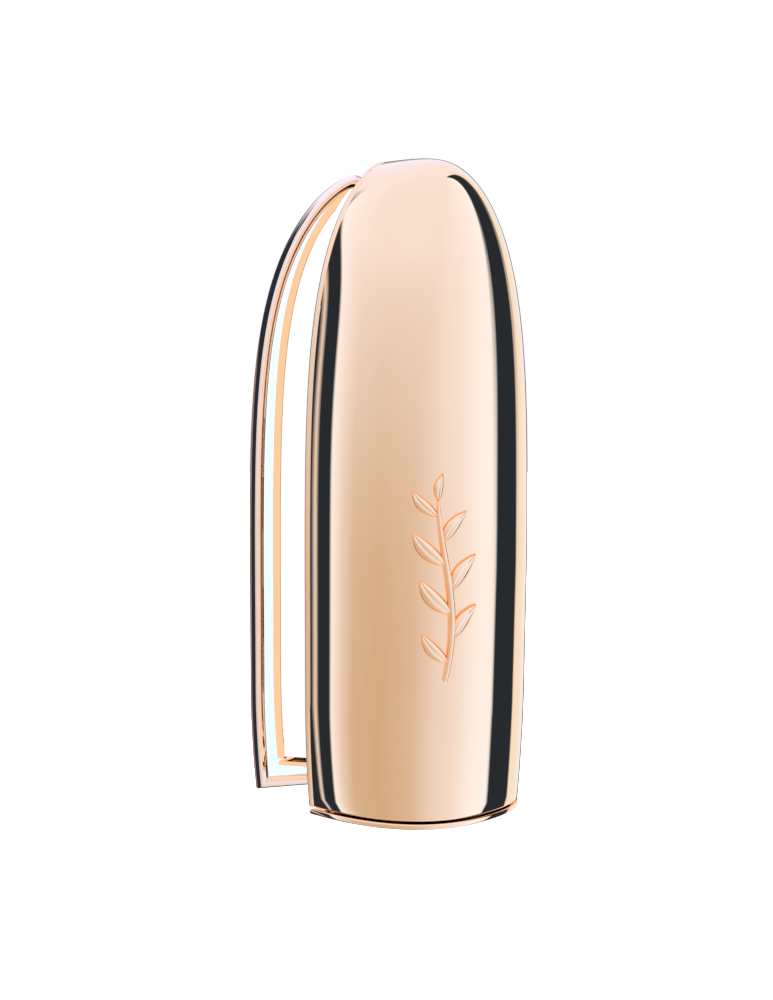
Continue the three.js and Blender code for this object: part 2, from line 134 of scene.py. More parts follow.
class CaseColours(bpy.types.PropertyGroup):
    """Base colours of the finishes."""

    gold: bpy.props.FloatVectorProperty(
        name="Rose gold", description="Plating of the shell and leaf", subtype="COLOR",
        default=(0.96, 0.60, 0.33), min=0, max=1)
    pale_gold: bpy.props.FloatVectorProperty(
        name="Pale rose gold", description="Plating of the bezel", subtype="COLOR",
        default=(0.96, 0.66, 0.45), min=0, max=1)
    mirror: bpy.props.FloatVectorProperty(
        name="Mirror", description="Silvered glass", subtype="COLOR",
        default=(0.965, 0.975, 0.98), min=0, max=1)
    steel: bpy.props.FloatVectorProperty(
        name="Steel", description="Nickel-plated steel", subtype="COLOR",
        default=(0.62, 0.61, 0.60), min=0, max=1)
    black: bpy.props.FloatVectorProperty(
        name="Black plastic", description="Guide sleeve", subtype="COLOR",
        default=(0.012, 0.012, 0.013), min=0, max=1)
    ivory: bpy.props.FloatVectorProperty(
        name="Ivory plastic", description="Inner tube and carrier", subtype="COLOR",
        default=(0.80, 0.74, 0.64), min=0, max=1)
    rouge: bpy.props.FloatVectorProperty(
        name="Rouge", description="Lipstick wax", subtype="COLOR",
        default=(0.42, 0.012, 0.035), min=0, max=1)


class CaseStage(bpy.types.PropertyGroup):
    """The camera and its surroundings."""

    azimuth: bpy.props.FloatProperty(
        name="Azimuth", description="Camera's angle to the left of the front",
        default=math.radians(45.17), subtype="ANGLE")
    elevation: bpy.props.FloatProperty(
        name="Elevation", description="Camera's angle above the level",
        default=math.radians(4.17), subtype="ANGLE")
    distance: bpy.props.FloatProperty(
        name="Distance", description="From the camera to its target", default=0.2006, unit="LENGTH")
    target: bpy.props.FloatVectorProperty(
        name="Target", description="Point that the camera looks at",
        default=(0.00025, PARTING_Y + 0.00017, 0.03808), subtype="TRANSLATION")
    lens: bpy.props.FloatProperty(
        name="Lens", description="Focal length in millimetres", default=56.6)


def form():
    return bpy.context.scene.case_form


def colours():
    return bpy.context.scene.case_colours


# ---- the case's outline and section ----
ARCH_STEPS = 64
FOOT_STEPS = 10


def foot_width(z, s, margin):
    drop = (s.arch_start - z) / s.arch_start
    return (s.half_width - margin) * (1 - s.foot_taper * drop ** 2)


def depth_at(z, s, depth, height):
    if z < s.shoulder_start:
        drop = (s.shoulder_start - z) / s.shoulder_start
        return depth * (1 - s.foot_depth_taper * drop ** 2)
    rise = min(1.0, (z - s.shoulder_start) / (height - s.shoulder_start))
    return depth * (1 - rise ** s.shoulder_rise_power) ** (1 / s.shoulder_depth_power)


def station(k, bottom, s, margin, drop=0.0):
    """Height and half width of level k of the outline, set in by margin and lowered by drop."""
    if k < FOOT_STEPS:
        z = bottom + (s.arch_start - bottom) * k / FOOT_STEPS
        return z, foot_width(z, s, margin)
    a = math.pi / 2 * (k - FOOT_STEPS) / ARCH_STEPS
    z = s.arch_start + (s.height - drop - margin - s.arch_start) * math.sin(a) ** (2 / s.arch_rise_power)
    return z, (s.half_width - margin) * max(math.cos(a), 0.0) ** (2 / s.arch_width_power)


LEVELS = FOOT_STEPS + ARCH_STEPS + 1
NO_CLIP = 10.0
CLOSEST = 0.02 * MM  # points of an outline nearer than this are one


def arch_loop(bottom, s, margin=0.0, clip=None, corner=1.5 * MM, drop=0.0):
    """Closed outline of the case's back as (x, z) points, its inside on the right of its run."""
    clip = NO_CLIP if clip is None else clip
    left = [(-w, z) for z, w in (station(k, bottom, s, margin, drop) for k in range(LEVELS))]
    right = [(min(-x, clip), z) for x, z in left[-2::-1]]
    loop = [*left, *right]
    kept = [loop[0]]
    for p in loop[1:]:
        if math.dist(p, kept[-1]) > CLOSEST:
            kept.append(p)
    kept = rounded(kept, len(kept) - 1, corner)
    return rounded(kept, 0, corner)


def rounded(loop, i, radius, steps=8):
    """The loop with its corner i turned into an arc."""
    n = len(loop)
    c = Vector(loop[i])
    a, b = c, c
    k = i
    while (a - c).length < radius:
        k -= 1
        a = Vector(loop[k % n])
    back = i - k
    k = i
    while (b - c).length < radius:
        k += 1
        b = Vector(loop[k % n])
    ahead = k - i
    a = c + (a - c).normalized() * radius
    b = c + (b - c).normalized() * radius
    arc = []
    for j in range(steps + 1):
        t = j / steps
        arc.append(tuple(a * (1 - t) ** 2 + c * 2 * t * (1 - t) + b * t ** 2))
    rest = [loop[(i + ahead + m) % n] for m in range(n - back - ahead + 1)]
    return [*arc, *rest]


def set_in(loop, t):
    """The closed loop moved inward by t; the loop runs so that its inside is on the right."""
    out = []
    n = len(loop)
    for k in range(n):
        p, q, r = Vector(loop[k - 1]), Vector(loop[k]), Vector(loop[(k + 1) % n])
        d1, d2 = (q - p).normalized(), (r - q).normalized()
        n1, n2 = Vector((d1.y, -d1.x)), Vector((d2.y, -d2.x))
        m = (n1 + n2).normalized()
        out.append(tuple(q + m * (t / max(m.dot(n1), 0.5))))
    return out


# ---- mesh builders ----
def new_object(name, verts, faces, smooth=True):
    mesh = bpy.data.meshes.new(name)
    mesh.from_pydata([tuple(v) for v in verts], [], faces)
    b = bmesh.new()
    b.from_mesh(mesh)
    bmesh.ops.remove_doubles(b, verts=b.verts, dist=0.002 * MM)
    bmesh.ops.dissolve_degenerate(b, edges=b.edges, dist=0.001 * MM)
    bmesh.ops.recalc_face_normals(b, faces=b.faces)
    b.to_mesh(mesh)
    b.free()
    for p in mesh.polygons:
        p.use_smooth = smooth
    o = bpy.data.objects.new(name, mesh)
    bpy.context.scene.collection.objects.link(o)
    return o


def smooth_by_angle(o, degrees=35):
    o.data.set_sharp_from_angle(angle=math.radians(degrees))


def round_edges(o, width, segments=3, degrees=35):
    m = o.modifiers.new("edge", "BEVEL")
    m.width, m.segments, m.limit_method = width, segments, "ANGLE"
    m.angle_limit = math.radians(degrees)
    m.harden_normals = True


def finish_piece(o, body, slot, material, *replaced):
    o.data.materials.clear()
    o.data.materials.append(material)
    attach(o, body)
    if replaced:
        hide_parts(*replaced)
    return o


def rows_mesh(rows, close_columns=True, caps=True):
    """Verts and faces of rings joined one to the next, with a face over each end."""
    n = len(rows[0])
    verts = [v for row in rows for v in row]
    faces = []
    for r in range(len(rows) - 1):
        for k in range(n if close_columns else n - 1):
            a, b = r * n + k, r * n + (k + 1) % n
            faces.append((a, b, b + n, a + n))
    if caps:
        faces.append(tuple(range(n))[::-1])
        faces.append(tuple(range((len(rows) - 1) * n, len(rows) * n)))
    return verts, faces


def closed_rings(rows):
    """Verts and faces of rings joined one to the next, and the last to the first."""
    verts, faces = rows_mesh(rows, caps=False)
    n, last = len(rows[0]), (len(rows) - 1) * len(rows[0])
    for k in range(n):
        faces.append((last + k, last + (k + 1) % n, (k + 1) % n, k))
    return verts, faces


def circle(radius, z, sides, centre=(0.0, 0.0)):
    return [(centre[0] + radius * math.cos(a), centre[1] + radius * math.sin(a), z)
            for a in (math.tau * k / sides for k in range(sides))]


def joined(parts):
    """One list of verts and faces from several."""
    verts, faces = [], []
    for v, f in parts:
        base = len(verts)
        verts += v
        faces += [tuple(i + base for i in face) for face in f]
    return verts, faces


def edge_rows(low, high, radius, steps=4):
    """Inset and height of each row of a plate whose two edges are rounded."""
    rows = []
    for k in range(steps + 1):
        a = math.pi / 2 * k / steps
        rows.append((radius * (1 - math.sin(a)), low + radius * (1 - math.cos(a))))
    return rows + [(t, high + low - h) for t, h in reversed(rows)]


def plate(loop, low, high, radius, place):
    return rows_mesh([[place(x, y, h) for x, y in set_in(loop, t)]
                      for t, h in edge_rows(low, high, radius)])


def upright(x, z, y):
    """A point of an outline drawn in x and z, at depth y behind the parting plane."""
    return (x, PARTING_Y + y, z)


def turned_leaf(p):
    """Where a point of the closed leaf stands with the leaf at rest."""
    return Matrix.Rotation(LEAF_TURN, 3, "Z") @ (Vector(p) - HINGE) + HINGE


def leaf_place(x, z, y):
    return turned_leaf(upright(x, z, y))


def lathe(profile, sides=96, wave=None, centre=(0.0, 0.0)):
    """A closed ring of (radius, height) points turned about the refill's axis."""
    rows = []
    for r, z in profile:
        ring = []
        for k in range(sides):
            a = math.tau * k / sides
            rr = r + (wave(a, r, z) if wave else 0.0)
            ring.append((centre[0] + rr * math.cos(a), centre[1] + rr * math.sin(a), z))
        rows.append(ring)
    return closed_rings(rows)


def sliced(o, point, normal, place=Vector):
    """Cut off and cap what lies beyond a plane, then put each vertex where place says."""
    b = bmesh.new()
    b.from_mesh(o.data)
    cut = bmesh.ops.bisect_plane(b, geom=b.verts[:] + b.edges[:] + b.faces[:], plane_co=point,
                                 plane_no=normal, clear_outer=True)
    edges = [e for e in cut["geom_cut"] if isinstance(e, bmesh.types.BMEdge)]
    bmesh.ops.contextual_create(b, geom=edges)
    bmesh.ops.recalc_face_normals(b, faces=b.faces)
    for v in b.verts:
        v.co = place(v.co)
    b.to_mesh(o.data)
    b.free()


def tube_profile(inner, outer, low, high, radius, steps=3):
    """A tube wall with its four edges rounded."""
    points = []
    corners = ((outer, low, 1, 1, -90), (outer, high, 1, -1, 0),
               (inner, high, -1, -1, 90), (inner, low, -1, 1, 180))
    for r, z, sr, sz, start in corners:
        for k in range(steps + 1):
            a = math.radians(start + 90 * k / steps)
            points.append((r - sr * radius + radius * math.cos(a), z + sz * radius + radius * math.sin(a)))
    return points


# ---- finishes ----
GRAIN_DEPTH = 0.02 * MM
TAPE_COLOUR = (0.02, 0.02, 0.02)


def new_material(name, colour, metallic=0.0, roughness=0.3):
    m = bpy.data.materials.new(name)
    m.use_nodes = True
    shader = m.node_tree.nodes["Principled BSDF"]
    shader.inputs["Base Color"].default_value = (*colour, 1)
    shader.inputs["Metallic"].default_value = metallic
    shader.inputs["Roughness"].default_value = roughness
    return m, shader


def link(m, a, out, b, into):
    m.node_tree.links.new(a.outputs[out], b.inputs[into])


def noise_node(m, scale, detail=3.0, stretch=(1, 1, 1)):
    nodes = m.node_tree.nodes
    coord = nodes.new("ShaderNodeTexCoord")
    mapping = nodes.new("ShaderNodeMapping")
    mapping.inputs["Scale"].default_value = stretch
    noise = nodes.new("ShaderNodeTexNoise")
    noise.inputs["Scale"].default_value = scale
    noise.inputs["Detail"].default_value = detail
    link(m, coord, "Object", mapping, "Vector")
    link(m, mapping, "Vector", noise, "Vector")
    return noise


def vary(m, shader, socket, noise, low, high, start=0.3, end=0.7):
    """Let the noise carry one of the shader's sockets from the colour low to the colour high."""
    ramp = m.node_tree.nodes.new("ShaderNodeValToRGB")
    for e, pos, colour in zip(ramp.color_ramp.elements, (start, end), (low, high)):
        e.position = pos
        e.color = (*colour, 1)
    link(m, noise, "Fac", ramp, "Fac")
    link(m, ramp, "Color", shader, socket)


def add_bump(m, shader, noise, strength, distance):
    bump = m.node_tree.nodes.new("ShaderNodeBump")
    bump.inputs["Strength"].default_value = strength
    bump.inputs["Distance"].default_value = distance
    link(m, noise, "Fac", bump, "Height")
    link(m, bump, "Normal", shader, "Normal")


def grey(v):
    return (v, v, v)


def tinted(colour, *shares):
    """The colour with each of its three parts at a share of itself."""
    return tuple(c * share for c, share in zip(colour, shares))


def polished(name, colour, low=0.008, high=0.024, swirl=0.006):
    """Plated metal, buffed: slight cloudy change of gloss, tiny lacquer ripple and faint tone drift."""
    m, shader = new_material(name, colour, metallic=1.0, roughness=low)
    vary(m, shader, "Roughness", noise_node(m, 160, 4), grey(low), grey(high), end=0.75)
    vary(m, shader, "Base Color", noise_node(m, 45, 2), tinted(colour, 0.985, 0.965, 0.94), colour)
    add_bump(m, shader, noise_node(m, 90, 2), swirl, 0.2 * MM)
    return m


def silvered(name, colour):
    """Mirror glass with a barely uneven silvering."""
    m, shader = new_material(name, colour, metallic=1.0, roughness=0.0)
    cooler = tinted(colour, 0.985, 0.995, 1.0)
    vary(m, shader, "Base Color", noise_node(m, 30, 2), cooler, colour, 0.35, 0.65)
    shader.inputs["Coat Weight"].default_value = 0.4
    shader.inputs["Coat Roughness"].default_value = 0.0
    return m


def brushed(name, colour):
    """Nickel-plated sheet with a fine brushed grain."""
    m, shader = new_material(name, colour, metallic=1.0, roughness=0.3)
    grain = noise_node(m, 900, 3, stretch=(1, 1, 0.04))
    vary(m, shader, "Roughness", grain, grey(0.22), grey(0.38))
    add_bump(m, shader, grain, 0.08, GRAIN_DEPTH)
    return m


def moulded(name, colour, roughness, coat=0.0):
    """Moulded plastic with a fine spark-eroded grain."""
    m, shader = new_material(name, colour, roughness=roughness)
    grain = noise_node(m, 2500, 2)
    vary(m, shader, "Roughness", grain, grey(roughness * 0.85), grey(roughness * 1.15))
    add_bump(m, shader, grain, 0.12, GRAIN_DEPTH)
    shader.inputs["Coat Weight"].default_value = coat
    return m


def waxy(name, colour):
    """Lipstick wax: satin, slightly translucent, with faint flow marks."""
    m, shader = new_material(name, colour, roughness=0.36)
    flow = noise_node(m, 220, 3, stretch=(1, 1, 0.25))
    vary(m, shader, "Base Color", flow, tinted(colour, 0.86, 0.86, 0.86), colour)
    vary(m, shader, "Roughness", flow, grey(0.32), grey(0.42))
    shader.inputs["Subsurface Weight"].default_value = 0.15
    shader.inputs["Subsurface Radius"].default_value = (1.0, 0.25, 0.2)
    shader.inputs["Subsurface Scale"].default_value = 0.6 * MM
    return m


MATERIALS = {}


def material(slot):
    if not MATERIALS:
        c = colours()
        MATERIALS["gold"] = polished("rose_gold_plate", c.gold[:])
        MATERIALS["pale_gold"] = polished("pale_rose_gold_plate", c.pale_gold[:], 0.02, 0.05)
        MATERIALS["mirror"] = silvered("silvered_glass", c.mirror[:])
        MATERIALS["steel"] = brushed("nickel_plated_steel", c.steel[:])
        MATERIALS["black_plastic"] = moulded("black_moulding", c.black[:], 0.42)
        MATERIALS["ivory_plastic"] = moulded("ivory_moulding", c.ivory[:], 0.3, 0.2)
        MATERIALS["tape"] = moulded("foam_tape", TAPE_COLOUR, 0.85)
        MATERIALS["rouge"] = waxy("rouge_wax", c.rouge[:])
    return MATERIALS[slot]


# ---- front shell ----
FRONT_COLUMNS = 56
FLANK_COLUMNS = 40
FLANK_SHARE = 0.64  # of the depth is drawn by depth; the rest is drawn across the front
FLANK_CROWDING = 2.2  # above 1, the flank's columns crowd towards the bead
LIP = 0.22 * MM  # rounding of the shell's foot
LIP_STEPS = 3


def rim_lift(y, s):
    """How far the bead stands out of the plain form, y in front of the parting plane."""
    if y >= 2 * s.rim_bead:
        return 0.0
    return s.rim_bead * math.sqrt(1 - (1 - y / s.rim_bead) ** 2)


def crest_station(k, bottom, s, margin):
    """Like station, but ending where the half width is down to the crest's rounding."""
    if k < FOOT_STEPS:
        return station(k, bottom, s, margin)
    half = s.half_width - margin
    last = math.acos((s.crest_round / half) ** (s.arch_width_power / 2))
    a = last * math.sin(math.pi / 2 * (k - FOOT_STEPS) / ARCH_STEPS)
    z = s.arch_start + (s.height - margin - s.arch_start) * math.sin(a) ** (2 / s.arch_rise_power)
    return z, half * math.cos(a) ** (2 / s.arch_width_power)


def shell_row(k, s, bottom, margin):
    """One level of the shell, from the rear left round the front to the rear right."""
    z, w = crest_station(k, bottom, s, margin)
    d = depth_at(z, s, s.depth - margin, s.height - margin)
    p, e = s.section_power, s.crest_round

    def x_at(y):
        reach = w * (1 - min(1.0, y / d) ** p) ** (1 / p)
        return math.sqrt(max(reach ** 2 - e ** 2, 0.0))

    def y_at(x):
        return d * max(0.0, 1 - (math.hypot(x, e) / w) ** p) ** (1 / p)
    front = y_at(0.0)
    flank = []
    for m in range(FLANK_COLUMNS + 1):
        t = m / FLANK_COLUMNS
        y = FLANK_SHARE * front * t ** FLANK_CROWDING
        lift = rim_lift(y, s) if margin == 0 else 0.0
        flank.append((x_at(y) + lift * min(1.0, x_at(y) / s.rim_bead), y))
    end = flank[-1][0]
    across = [end * (2 * m / FRONT_COLUMNS - 1) for m in range(1, FRONT_COLUMNS)]
    row = [(-x, y) for x, y in flank] + [(x, y_at(x)) for x in across] + flank[::-1]
    return [(x, PARTING_Y - y, z) for x, y in row]


def surface_point(x_share, z, s):
    """Point and outward direction on the plain front surface, at a share of the half width."""
    def at(sh, zz):
        rise = max(0.0, (zz - s.arch_start) / (s.height - s.arch_start))
        w = s.half_width * (1 - rise ** s.arch_rise_power) ** (1 / s.arch_width_power)
        if zz < s.arch_start:
            w = foot_width(zz, s, 0.0)
        d = depth_at(zz, s, s.depth, s.height)
        p = s.section_power
        return Vector((w * sh, PARTING_Y - d * (1 - abs(sh) ** p) ** (1 / p), zz))
    e = 1e-4
    across = at(x_share + e, z) - at(x_share - e, z)
    up = at(x_share, z + e) - at(x_share, z - e)
    return at(x_share, z), across.cross(up).normalized()


class CASE_OT_front_shell(bpy.types.Operator):
    """Build the polished half-bullet shell"""

    bl_idname = "case.front_shell"
    bl_label = "Front Shell"

    def execute(self, context):
        s = form()
        bottom = SHELL_LO[2]
        outer = [shell_row(k, s, bottom, 0.0) for k in range(LEVELS)]
        lip_rows = []
        for step in range(LIP_STEPS):
            a = math.pi / 2 * step / LIP_STEPS
            inset = LIP * (1 - math.sin(a))
            row = []
            for x, y, z in outer[0]:
                v = Vector((x, y - PARTING_Y, 0))
                v -= v.normalized() * inset
                row.append((v.x, v.y + PARTING_Y, bottom + LIP * (1 - math.cos(a))))
            lip_rows.append(row)
        outer[0] = [(x, y, bottom + LIP) for x, y, z in outer[0]]
        outer = lip_rows + outer
        inner = [shell_row(k, s, bottom, s.wall) for k in range(LEVELS)]
        inner = [inner[0]] * LIP_STEPS + inner
        n = len(outer[0])
        a_verts, a_faces = rows_mesh(outer, close_columns=False, caps=False)
        b_verts, b_faces = rows_mesh(inner, close_columns=False, caps=False)
        base = len(a_verts)
        verts = a_verts + b_verts
        faces = a_faces + [tuple(i + base for i in f[::-1]) for f in b_faces]
        for k in range(n - 1):
            faces.append((k + 1, k, base + k, base + k + 1))
        for r in range(len(outer) - 1):
            i, j = r * n, (r + 1) * n
            faces.append((i, j, base + j, base + i))
            i, j = r * n + n - 1, (r + 1) * n + n - 1
            faces.append((j, i, base + i, base + j))
        o = new_object("front_shell_skin", verts, faces)
        smooth_by_angle(o, 50)
        finish_piece(o, "case", "gold", material("gold"), "front_shell")
        return {"FINISHED"}


# ---- raised sprig ----
SPRIG_LOW, SPRIG_HIGH = 18.0 * MM, 39.5 * MM
SPRIG_SHARE = -0.56  # of the half width: the sprig stands left of the middle
STEM_RADIUS = 0.46 * MM
STEM_STEPS, STEM_SIDES = 60, 10
SPRIG_LEAVES = 7
LEAFLET_WIDTH, LEAFLET_LENGTH, LEAFLET_LIFT = 0.9 * MM, 3.5 * MM, 0.6 * MM
LEAFLET_SINK = 0.12 * MM  # how far its underside lies in the shell
LEAFLET_EDGE = 0.004 * MM  # how far its edge stands proud of the shell
VEIN_DEPTH, VEIN_SHARE = 0.12 * MM, 0.18


def stem_share(t):
    """Place of the stem across the shell at share t of its height."""
    return SPRIG_SHARE + 0.075 * math.sin(math.tau * 0.62 * t + 0.6) + 0.05 * t


def on_shell(share, z, height, s):
    p, out = surface_point(share, z, s)
    return p + out * height


def stem(s):
    rows = []
    ahead = 0.008  # share of the stem's height to the point that gives its direction
    for k in range(STEM_STEPS + 1):
        t = k / STEM_STEPS
        z = SPRIG_LOW + (SPRIG_HIGH - SPRIG_LOW) * t
        p, out = surface_point(stem_share(t), z, s)
        q, _ = surface_point(stem_share(min(1.0, t + ahead)), z + 0.2 * MM, s)
        along = (q - p).normalized()
        sideways = along.cross(out).normalized()
        r = STEM_RADIUS * (0.35 + 0.65 * math.sin(math.pi * min(1.0, 0.12 + 0.9 * t)) ** 0.6)
        rows.append([p + sideways * r * math.cos(a) + out * (r * math.sin(a) * 0.9)
                     for a in (math.tau * m / STEM_SIDES for m in range(STEM_SIDES))])
    return rows_mesh(rows)


def leaflet(base, tip, width, s):
    """A closed lens that follows the shell from base to tip, each (share, height)."""
    length, across = 18, 12
    rows = []
    for i in range(length + 1):
        t = i / length
        cz = base[1] + (tip[1] - base[1]) * t
        bow = 0.35 * width * math.sin(math.pi * t)
        cs = base[0] + (tip[0] - base[0]) * t
        half = width * math.sin(math.pi * t) ** 0.75 * (1 - 0.35 * t)
        direction = Vector(((tip[0] - base[0]) * s.half_width, tip[1] - base[1])).normalized()
        normal = Vector((-direction.y, direction.x))
        upper, under = [], []
        for j in range(across + 1):
            v = 2 * j / across - 1
            off = normal * (half * v + bow)
            share = cs + off.x / s.half_width
            z = cz + off.y
            crest = max(0.0, 1 - v * v) ** 0.5
            vein = VEIN_DEPTH * math.exp(-(v / VEIN_SHARE) ** 2)
            lift = LEAFLET_LIFT * crest * math.sin(math.pi * min(1.0, t * 0.94 + 0.03)) ** 0.5 - vein
            upper.append(on_shell(share, z, max(lift, 0.0) + LEAFLET_EDGE, s))
            under.append(on_shell(share, z, -LEAFLET_SINK, s))
        rows.append(upper + under[::-1])
    return rows_mesh(rows)


class CASE_OT_sprig(bpy.types.Operator):
    """Raise a plain leaf sprig on the front"""

    bl_idname = "case.sprig"
    bl_label = "Raised Sprig"

    def execute(self, context):
        s = form()
        parts = [stem(s)]
        for k in range(SPRIG_LEAVES):
            t = 0.1 + 0.8 * k / (SPRIG_LEAVES - 1)
            side = 1 if k % 2 else -1
            size = 0.65 + 0.55 * math.sin(math.pi * (0.15 + 0.8 * t))
            z = SPRIG_LOW + (SPRIG_HIGH - SPRIG_LOW) * t
            share = stem_share(t)
            base = (share + side * 0.01, z)
            tip = (share + side * 0.19 * size, z + LEAFLET_LENGTH * size)
            parts.append(leaflet(base, tip, LEAFLET_WIDTH * size, s))
        end = stem_share(1.0)
        root = (end, SPRIG_HIGH - 0.3 * MM)
        parts.append(leaflet(root, (end + 0.03, SPRIG_HIGH + 3.0 * MM), 0.6 * MM, s))
        verts, faces = joined(parts)
        o = new_object("raised_sprig", verts, faces)
        smooth_by_angle(o, 60)
        finish_piece(o, "case", "gold", material("gold"))
        return {"FINISHED"}


# ---- mirrors and rear frame ----
def set_of_plates(name, body, slot, replaced, plates, degrees=40):
    verts, faces = joined(plates)
    o = new_object(name, verts, faces)
    smooth_by_angle(o, degrees)
    return finish_piece(o, body, slot, material(slot), *replaced)


class CASE_OT_body_mirror(bpy.types.Operator):
    """Build the mirror set in the back of the body"""

    bl_idname = "case.body_mirror"
    bl_label = "Body Mirror"

    def execute(self, context):
        s = form()
        y0 = lo("body_mirror")[1] - PARTING_Y
        y1 = hi("body_mirror")[1] - PARTING_Y
        loop = arch_loop(lo("body_mirror")[2], s, s.wall + 0.01 * MM, s.leaf_clip, 1.2 * MM)
        set_of_plates("body_mirror_glass", "case", "mirror", ["body_mirror"],
                      [plate(loop, y0, y1, 0.02 * MM, upright)])
        return {"FINISHED"}


KNUCKLES = 5
KNUCKLE_GAP = 0.3 * MM
KNUCKLE_BORE, KNUCKLE_EDGE = 0.62 * MM, 0.12 * MM
HINGE_RADIUS = 1.2 * MM
PIN_RADIUS, PIN_CHAMFER = 0.45 * MM, 0.15 * MM
TAB_WIDTH = 0.7 * MM
FRAME_THICK = 1.1 * MM
FRAME_GAP = 0.3 * MM  # between the rear frame and the shell's wall


def knuckle_spans():
    """Heights of the hinge's knuckles, from the foot up."""
    z0 = lo("hinge_pin")[2]
    pitch = (hi("hinge_pin")[2] + KNUCKLE_GAP - z0) / KNUCKLES
    return [(z0 + pitch * k, z0 + pitch * (k + 1) - KNUCKLE_GAP) for k in range(KNUCKLES)]


def knuckle(span):
    profile = tube_profile(KNUCKLE_BORE, HINGE_RADIUS, *span, KNUCKLE_EDGE)
    return lathe(profile, 48, centre=(HINGE.x, HINGE.y))


def box_part(x0, x1, y0, y1, z0, z1, place):
    corners = [(x0, y0), (x1, y0), (x1, y1), (x0, y1)]
    return rows_mesh([[place((x, y, z)) for x, y in corners] for z in (z0, z1)])


class CASE_OT_hinge(bpy.types.Operator):
    """Build the rear frame with its knuckles, and the pin"""

    bl_idname = "case.hinge"
    bl_label = "Hinge and Rear Frame"

    def execute(self, context):
        s = form()
        y0 = lo("rear_frame")[1] - PARTING_Y
        loop = arch_loop(lo("rear_frame")[2], s, s.wall + FRAME_GAP, None, 1.0 * MM)
        parts = [plate(loop, y0, y0 + FRAME_THICK, 0.1 * MM, upright)]
        left = HINGE.x - HINGE_RADIUS + 0.1 * MM
        for k in (0, 2, 4):
            z0, z1 = knuckle_spans()[k]
            parts.append(knuckle((z0, z1)))
            parts.append(box_part(left, left + TAB_WIDTH, PARTING_Y + y0 + 0.5 * MM, HINGE.y - TAB_WIDTH,
                                  z0, z1, Vector))
        set_of_plates("hinge_frame", "case", "steel", ["rear_frame"], parts)
        z0, z1 = lo("hinge_pin")[2], hi("hinge_pin")[2]
        tip = PIN_RADIUS * 0.6
        rows = [circle(r, z, 32, (HINGE.x, HINGE.y)) for r, z in (
            (tip, z0), (PIN_RADIUS, z0 + PIN_CHAMFER), (PIN_RADIUS, z1 - PIN_CHAMFER), (tip, z1))]
        set_of_plates("hinge_pin_turned", "case", "steel", ["hinge_pin"], [rows_mesh(rows)])
        return {"FINISHED"}


# ---- mirror leaf ----
LEAF_BOTTOM = 0.3 * MM
LEAF_FRONT = 0.3 * MM
LEAF_COLUMNS = 96
LEAF_FRAME_BACK = LEAF_FRONT + 1.4 * MM
LEAF_PAN_FRONT = LEAF_FRAME_BACK + 0.06 * MM
LEAF_MIRROR_FRONT = LEAF_FRONT + 0.5 * MM
MIRROR_THICK = 0.8 * MM


class CASE_OT_leaf_back(bpy.types.Operator):
    """Build the leaf's domed gold back with its knuckles"""

    bl_idname = "case.leaf_back"
    bl_label = "Leaf Back"

    def execute(self, context):
        s = form()
        p = s.section_power
        rows = []
        for k in range(LEVELS):
            z, w = station(k, LEAF_BOTTOM, s, 0.0, s.leaf_drop)
            d = depth_at(z, s, s.leaf_dome, s.height - s.leaf_drop)
            row = []
            for a in (math.pi * m / LEAF_COLUMNS for m in range(LEAF_COLUMNS + 1)):
                c = math.cos(a)
                x = -math.copysign(w * abs(c) ** (2 / p), c)
                row.append((x, PARTING_Y + LEAF_PAN_FRONT + d * math.sin(a) ** (2 / p), z))
            rows.append(row)
        o = new_object("leaf_back", *rows_mesh(rows))
        sliced(o, Vector((s.leaf_clip, 0, 0)), (1, 0, 0), turned_leaf)
        for poly in o.data.polygons:
            poly.use_smooth = True
        smooth_by_angle(o, 40)
        round_edges(o, 0.16 * MM)
        finish_piece(o, "leaf", "gold", material("gold"), "leaf_shell")
        parts = []
        for k in (1, 3):
            z0, z1 = knuckle_spans()[k]
            verts, faces = knuckle((z0, z1))
            parts.append(([turned_leaf(v) for v in verts], faces))
            parts.append(box_part(s.leaf_clip - 0.3 * MM, HINGE.x - 0.3 * MM,
                                  PARTING_Y + LEAF_PAN_FRONT + 0.1 * MM,
                                  HINGE.y + HINGE_RADIUS - 0.02 * MM, z0, z1, turned_leaf))
        set_of_plates("leaf_knuckles", "leaf", "gold", [], parts)
        return {"FINISHED"}


# Section of the bezel in millimetres: how far in from the edge, and how far behind the front.
BEZEL = ((0.0, 1.4), (0.0, 0.95), (0.03, 0.86), (0.32, 0.12), (0.36, 0.04), (0.42, 0.0), (1.0, 0.0),
         (1.05, 0.02), (1.52, 0.38), (1.58, 0.43), (1.58, 0.48), (1.1, 0.48), (1.1, 1.4))


class CASE_OT_leaf_bezel(bpy.types.Operator):
    """Build the leaf's pale bezel and its mirror"""

    bl_idname = "case.leaf_bezel"
    bl_label = "Leaf Bezel and Mirror"

    def execute(self, context):
        s = form()
        loop = arch_loop(LEAF_BOTTOM, s, 0.0, s.leaf_clip, 1.5 * MM, s.leaf_drop)
        rows = [[leaf_place(x, z, LEAF_FRONT + y * MM) for x, z in set_in(loop, t * MM)] for t, y in BEZEL]
        o = new_object("leaf_bezel", *closed_rings(rows))
        smooth_by_angle(o, 50)
        finish_piece(o, "leaf", "pale_gold", material("pale_gold"), "leaf_frame")
        inner = set_in(loop, s.leaf_rim + 0.02 * MM)
        y0 = LEAF_MIRROR_FRONT
        set_of_plates("leaf_mirror_glass", "leaf", "mirror", ["leaf_mirror"],
                      [plate(inner, y0, y0 + MIRROR_THICK, 0.05 * MM, leaf_place)])
        return {"FINISHED"}


# ---- base and refill ----
BASE_THICK, BASE_EDGE = 0.7 * MM, 0.2 * MM
BASE_CORNER = 0.5 * MM
PLUG_EDGE = 0.15 * MM


